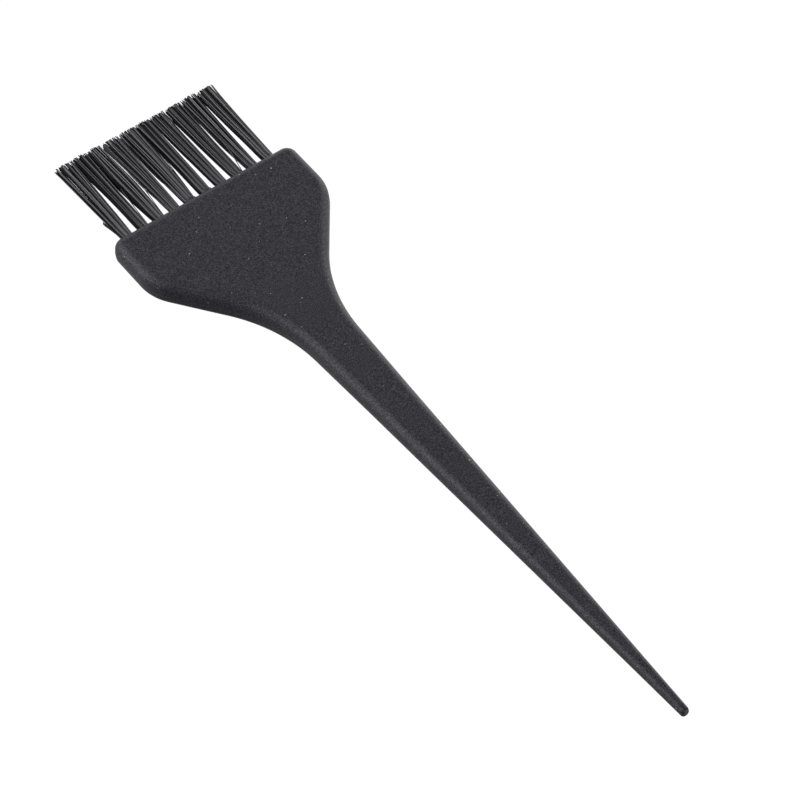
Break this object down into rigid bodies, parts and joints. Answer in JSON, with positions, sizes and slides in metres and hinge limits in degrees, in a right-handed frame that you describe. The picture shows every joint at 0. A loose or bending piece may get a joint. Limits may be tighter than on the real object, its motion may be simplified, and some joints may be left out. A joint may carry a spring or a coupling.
{
  "type": "hair tint brush",
  "caption": "Flat moulded brush with a wide head, a single row of springy filament tufts and a long handle that tapers to a pointed tail.",
  "frame": {"origin": "on the flat back of the head, on the centre line, 10 mm behind the head's front edge", "axes": "+Y along the tufts, away from the tail; +X along the row of tufts; +Z out of the handle's front face, so the brush lies on its back on z = 0"},
  "size_m": [0.0538, 0.22, 0.0074],
  "materials": {
    "moulded_plastic": "matte",
    "filaments": "satin",
    "anchor_wire": "satin"
  },
  "bodies": {
    "handle": {"handle": "moulded_plastic", "tuft_anchor_01": "anchor_wire", "tuft_anchor_02": "anchor_wire", "tuft_anchor_03": "anchor_wire", "tuft_anchor_04": "anchor_wire", "tuft_anchor_05": "anchor_wire", "tuft_anchor_06": "anchor_wire", "tuft_anchor_07": "anchor_wire", "tuft_anchor_08": "anchor_wire", "tuft_anchor_09": "anchor_wire", "tuft_anchor_10": "anchor_wire", "tuft_root_01": "filaments", "tuft_root_02": "filaments", "tuft_root_03": "filaments", "tuft_root_04": "filaments", "tuft_root_05": "filaments", "tuft_root_06": "filaments", "tuft_root_07": "filaments", "tuft_root_08": "filaments", "tuft_root_09": "filaments", "tuft_root_10": "filaments"},
    "tuft_01": {"tuft_01": "filaments"},
    "tuft_02": {"tuft_02": "filaments"},
    "tuft_03": {"tuft_03": "filaments"},
    "tuft_04": {"tuft_04": "filaments"},
    "tuft_05": {"tuft_05": "filaments"},
    "tuft_06": {"tuft_06": "filaments"},
    "tuft_07": {"tuft_07": "filaments"},
    "tuft_08": {"tuft_08": "filaments"},
    "tuft_09": {"tuft_09": "filaments"},
    "tuft_10": {"tuft_10": "filaments"}
  },
  "joints": [
    {"name": "tuft_01_flex", "type": "hinge", "parent": "handle", "child": "tuft_01", "pos_m": [-0.0211, 0.0142, 0.0037], "axis": [1, 0, 0], "range_deg": [-45, 45], "stiffness_Nm_per_rad": 0.004},
    {"name": "tuft_02_flex", "type": "hinge", "parent": "handle", "child": "tuft_02", "pos_m": [-0.01641, 0.0142, 0.0037], "axis": [1, 0, 0], "range_deg": [-45, 45], "stiffness_Nm_per_rad": 0.004},
    {"name": "tuft_03_flex", "type": "hinge", "parent": "handle", "child": "tuft_03", "pos_m": [-0.01172, 0.0142, 0.0037], "axis": [1, 0, 0], "range_deg": [-45, 45], "stiffness_Nm_per_rad": 0.004},
    {"name": "tuft_04_flex", "type": "hinge", "parent": "handle", "child": "tuft_04", "pos_m": [-0.00703, 0.0142, 0.0037], "axis": [1, 0, 0], "range_deg": [-45, 45], "stiffness_Nm_per_rad": 0.004},
    {"name": "tuft_05_flex", "type": "hinge", "parent": "handle", "child": "tuft_05", "pos_m": [-0.00234, 0.0142, 0.0037], "axis": [1, 0, 0], "range_deg": [-45, 45], "stiffness_Nm_per_rad": 0.004},
    {"name": "tuft_06_flex", "type": "hinge", "parent": "handle", "child": "tuft_06", "pos_m": [0.00234, 0.0142, 0.0037], "axis": [1, 0, 0], "range_deg": [-45, 45], "stiffness_Nm_per_rad": 0.004},
    {"name": "tuft_07_flex", "type": "hinge", "parent": "handle", "child": "tuft_07", "pos_m": [0.00703, 0.0142, 0.0037], "axis": [1, 0, 0], "range_deg": [-45, 45], "stiffness_Nm_per_rad": 0.004},
    {"name": "tuft_08_flex", "type": "hinge", "parent": "handle", "child": "tuft_08", "pos_m": [0.01172, 0.0142, 0.0037], "axis": [1, 0, 0], "range_deg": [-45, 45], "stiffness_Nm_per_rad": 0.004},
    {"name": "tuft_09_flex", "type": "hinge", "parent": "handle", "child": "tuft_09", "pos_m": [0.01641, 0.0142, 0.0037], "axis": [1, 0, 0], "range_deg": [-45, 45], "stiffness_Nm_per_rad": 0.004},
    {"name": "tuft_10_flex", "type": "hinge", "parent": "handle", "child": "tuft_10", "pos_m": [0.0211, 0.0142, 0.0037], "axis": [1, 0, 0], "range_deg": [-45, 45], "stiffness_Nm_per_rad": 0.004}
  ]
}
